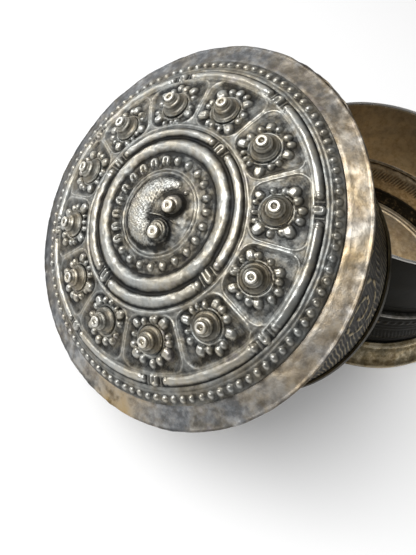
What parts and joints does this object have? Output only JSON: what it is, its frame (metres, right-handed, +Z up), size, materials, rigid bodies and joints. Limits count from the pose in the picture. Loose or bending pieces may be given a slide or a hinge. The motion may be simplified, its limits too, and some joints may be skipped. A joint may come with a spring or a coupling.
{
  "type": "incense box",
  "caption": "Round lidded box of chased silver: an open base on a flared foot, with its deep domed lid leaning back on the base's lip.",
  "frame": {"origin": "on the table, in the middle of the room that the base and the leaning lid take up together; the base's own axis is vertical at y = +51.4 mm", "axes": "+Z up; +Y from the lid towards the base, the lid's face looks to -Y and up; +X across, and the whole is alike on both sides of x = 0 but for its ornament"},
  "size_m": [0.13, 0.2328, 0.1334],
  "materials": {
    "raised_top": "chased and raised silver, tarnished dark in the recesses, bright on the high points",
    "boss_silver": "turned silver, polished by wear",
    "flange_silver": "plain silver with small dents and warm toning",
    "engraved_wall": "engraved silver, dark with tarnish",
    "chased_band": "silver with a chased and hatched band",
    "foot_silver": "plain silver with brown toning",
    "inner_silver": "plain silver, brown and dull inside",
    "bright_trim": "silver edge, rubbed bright"
  },
  "bodies": {
    "base": {"base_foot": "foot_silver", "base_floor": "inner_silver", "base_band": "chased_band", "base_seat_ring": "bright_trim", "base_collar": "inner_silver", "base_lip_bead": "bright_trim"},
    "lid": {"lid_top": "raised_top", "lid_flange": "flange_silver", "lid_wall": "engraved_wall", "lid_mouth_band": "bright_trim", "lid_boss_01": "boss_silver", "lid_boss_02": "boss_silver", "lid_boss_03": "boss_silver", "lid_boss_04": "boss_silver", "lid_boss_05": "boss_silver", "lid_boss_06": "boss_silver", "lid_boss_07": "boss_silver", "lid_boss_08": "boss_silver", "lid_boss_09": "boss_silver", "lid_boss_10": "boss_silver", "lid_boss_11": "boss_silver", "lid_boss_12": "boss_silver", "lid_stud_large_comma": "boss_silver", "lid_stud_small_comma": "boss_silver"}
  },
  "joints": [
    {"name": "lid_lift", "type": "slide", "parent": "base", "child": "lid", "axis": [0, 0, 1], "range_m": [0, 0.08]}
  ]
}
